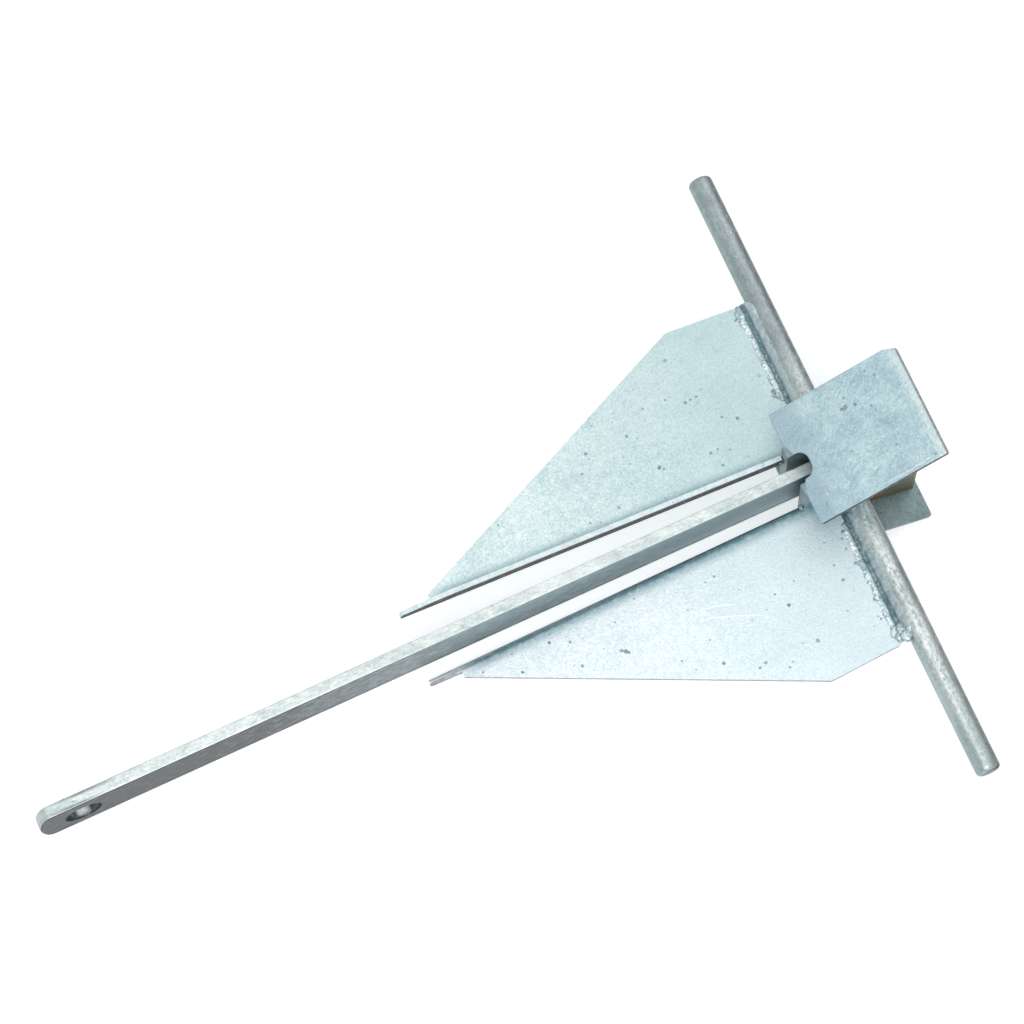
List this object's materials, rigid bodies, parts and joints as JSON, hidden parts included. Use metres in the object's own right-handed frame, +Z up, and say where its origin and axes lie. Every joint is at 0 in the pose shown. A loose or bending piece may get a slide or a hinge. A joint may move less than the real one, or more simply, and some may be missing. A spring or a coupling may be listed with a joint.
{
  "type": "sand anchor",
  "caption": "Galvanised pivoting-fluke sand anchor: round stock, two folded flukes, a crown of two sloping notched plates, and a flat bar shank with a shackle eye.",
  "frame": {"origin": "on the ground, midway along the anchor's length and under the middle of the stock, with the anchor lying at rest", "axes": "+X from the crown to the shackle eye, +Y along the stock, +Z up"},
  "size_m": [0.6055, 0.427, 0.1392],
  "materials": {
    "zinc_plate": "hot-dip zinc coat on steel plate, pale, faintly mottled, dull sheen",
    "zinc_bar": "hot-dip zinc coat on round bar, grey, dull sheen",
    "zinc_weld": "zinc-coated weld bead, lumpy, dull sheen",
    "zinc_shank": "hot-dip zinc coat on flat bar, darker grey, dull sheen"
  },
  "bodies": {
    "flukes": {"stock": "zinc_bar", "fluke_left": "zinc_plate", "fluke_right": "zinc_plate", "crown_plate_upper": "zinc_plate", "crown_plate_lower": "zinc_plate", "crown_web_left": "zinc_plate", "crown_web_right": "zinc_plate", "weld_left": "zinc_weld", "weld_right": "zinc_weld"},
    "shank": {"shank": "zinc_shank"}
  },
  "joints": [
    {"name": "shank_pivot", "type": "hinge", "parent": "flukes", "child": "shank", "pos_m": [-0.23902, 0, 0.06056], "axis": [0, -1, 0], "range_deg": [-35, 23]}
  ]
}
